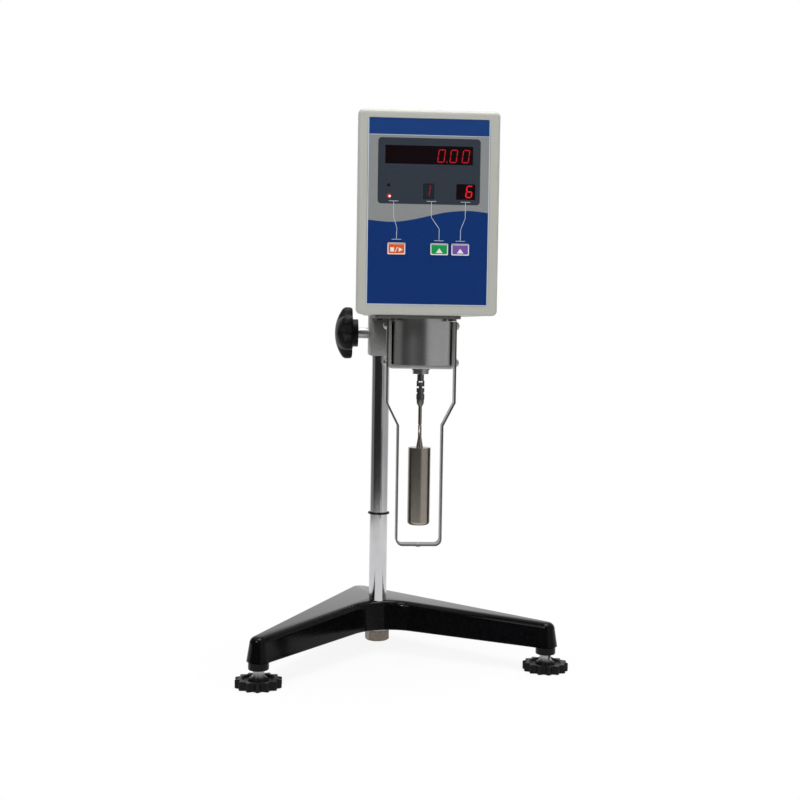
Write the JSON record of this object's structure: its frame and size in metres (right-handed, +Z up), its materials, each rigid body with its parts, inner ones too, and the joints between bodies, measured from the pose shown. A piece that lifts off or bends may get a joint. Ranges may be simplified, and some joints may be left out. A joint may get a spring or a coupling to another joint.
{
  "type": "rotational viscometer",
  "caption": "Bench rotational viscometer with a digital head on a rack column, V base with levelling feet, guard strip and a hanging cylinder rotor.",
  "frame": {"origin": "on the bench, in the middle of the part's own outline seen from above", "axes": "+Z up along the column, the head's display faces -Y, +X to the right as seen from the front"},
  "size_m": [0.2826, 0.2205, 0.466],
  "materials": {
    "cast_black": "gloss",
    "black_steel": "satin",
    "dark_plate": "satin",
    "dark_disc": "matte",
    "chrome": "polished",
    "steel": "brushed",
    "rotor_steel": "brushed",
    "spring_steel": "satin",
    "aluminium": "brushed",
    "brass": "satin",
    "rubber": "matte",
    "black_plastic": "satin",
    "white_plastic": "satin",
    "case_plastic": "satin",
    "overlay_blue": "satin",
    "window_dark": "gloss",
    "led_module": "gloss",
    "led_red": "gloss",
    "board_green": "satin",
    "key_orange": "satin",
    "key_green": "satin",
    "key_purple": "satin",
    "vial_glass": "polished"
  },
  "bodies": {
    "base": {"base_casting": "cast_black", "foot_bushes": "brass", "column": "chrome", "rack": "steel", "column_washer": "steel", "column_nut": "black_steel", "column_cap": "black_plastic", "rear_foot": "rubber"},
    "ring": {"stop_ring": "rubber"},
    "left_pad": {"left_foot_pad": "rubber"},
    "left_screw": {"left_foot_knob": "black_plastic", "left_foot_stud": "steel"},
    "right_pad": {"right_foot_pad": "rubber"},
    "right_screw": {"right_foot_knob": "black_plastic", "right_foot_stud": "steel"},
    "carriage": {"carriage_block": "aluminium", "guide_liners": "white_plastic", "pinion_bushes": "brass", "tension_screw": "black_steel", "head_plate": "dark_plate", "plate_screws": "black_steel", "front_bezel": "case_plastic", "rear_cover": "case_plastic", "overlay_panel": "overlay_blue", "display_window": "window_dark", "display_modules": "led_module", "status_leds": "led_red", "circuit_board": "board_green", "key_switches": "black_plastic", "cover_screws": "black_steel", "power_jack": "black_plastic", "switch_body": "black_plastic", "level_housing": "aluminium", "level_vial": "vial_glass", "sensor_can": "aluminium", "guard_bracket": "steel", "bearing_boss": "steel", "guard": "steel", "guard_screws": "steel", "photo_sensors": "black_plastic", "gear_deck": "aluminium", "motor": "steel", "power_board": "board_green"},
    "lift_drive": {"lift_knob": "black_plastic", "pinion_shaft": "steel", "pinion": "brass"},
    "stop_button": {"stop_key": "key_orange"},
    "rotor_button": {"rotor_key": "key_green"},
    "speed_button": {"speed_key": "key_purple"},
    "rocker": {"power_rocker": "black_plastic"},
    "motor_rotor": {"motor_pinion": "brass"},
    "drive": {"drive_gear": "brass", "drive_disc": "dark_disc", "hairspring": "spring_steel"},
    "spindle": {"spindle_shaft": "steel", "spindle_disc": "dark_disc"},
    "cross": {"joint_cross": "steel"},
    "hanging_rotor": {"lower_yoke": "steel", "rotor": "rotor_steel"}
  },
  "joints": [
    {"name": "carriage_lift", "type": "slide", "parent": "base", "child": "carriage", "axis": [0, 0, 1], "range_m": [-0.105, 0.08]},
    {"name": "lift_turn", "type": "hinge", "parent": "carriage", "child": "lift_drive", "pos_m": [-0.01984, 0.04709, 0.2883], "axis": [1, 0, 0], "range_deg": [-1005, 766]},
    {"name": "ring_slide", "type": "slide", "parent": "base", "child": "ring", "axis": [0, 0, 1], "range_m": [-0.07, 0.03]},
    {"name": "left_foot_lift", "type": "slide", "parent": "base", "child": "left_pad", "axis": [0, 0, 1], "range_m": [-0.006, 0.004]},
    {"name": "left_foot_turn", "type": "hinge", "parent": "left_pad", "child": "left_screw", "pos_m": [-0.1222, -0.09077, 0.005], "axis": [0, 0, 1], "range_deg": [-1445, 965]},
    {"name": "right_foot_lift", "type": "slide", "parent": "base", "child": "right_pad", "axis": [0, 0, 1], "range_m": [-0.006, 0.004]},
    {"name": "right_foot_turn", "type": "hinge", "parent": "right_pad", "child": "right_screw", "pos_m": [0.1222, -0.04105, 0.005], "axis": [0, 0, 1], "range_deg": [-1445, 965]},
    {"name": "stop_press", "type": "slide", "parent": "carriage", "child": "stop_button", "axis": [0, 1, 0], "range_m": [0, 0.0005], "stiffness_N_per_m": 400, "springref_m": -0.001},
    {"name": "rotor_press", "type": "slide", "parent": "carriage", "child": "rotor_button", "axis": [0, 1, 0], "range_m": [0, 0.0005], "stiffness_N_per_m": 400, "springref_m": -0.001},
    {"name": "speed_press", "type": "slide", "parent": "carriage", "child": "speed_button", "axis": [0, 1, 0], "range_m": [0, 0.0005], "stiffness_N_per_m": 400, "springref_m": -0.001},
    {"name": "power_switch", "type": "hinge", "parent": "carriage", "child": "rocker", "pos_m": [0.03516, 0.01259, 0.322], "axis": [-1, 0, 0], "range_deg": [0, 16]},
    {"name": "drive_turn", "type": "hinge", "parent": "carriage", "child": "drive", "pos_m": [0.00916, -0.05441, 0.33], "axis": [0, 0, 1], "continuous": true},
    {"name": "motor_turn", "type": "hinge", "parent": "carriage", "child": "motor_rotor", "pos_m": [0.03316, -0.05441, 0.34], "axis": [0, 0, 1], "continuous": true},
    {"name": "spindle_turn", "type": "hinge", "parent": "drive", "child": "spindle", "pos_m": [0.00916, -0.05441, 0.29], "axis": [0, 0, 1], "range_deg": [-60, 60], "stiffness_Nm_per_rad": 0.000045},
    {"name": "joint_swing_x", "type": "hinge", "parent": "spindle", "child": "cross", "pos_m": [0.00916, -0.05441, 0.2465], "axis": [1, 0, 0], "range_deg": [-2.5, 2.5]},
    {"name": "joint_swing_y", "type": "hinge", "parent": "cross", "child": "hanging_rotor", "pos_m": [0.00916, -0.05441, 0.2465], "axis": [0, 1, 0], "range_deg": [-2.5, 2.5]}
  ],
  "couplings": [
    {"joint": "lift_turn", "follows": "carriage_lift", "rad_per_m": 166.67},
    {"joint": "left_foot_turn", "follows": "left_foot_lift", "rad_per_m": 4188.8},
    {"joint": "right_foot_turn", "follows": "right_foot_lift", "rad_per_m": 4188.8},
    {"joint": "motor_turn", "follows": "drive_turn", "ratio": -4}
  ]
}
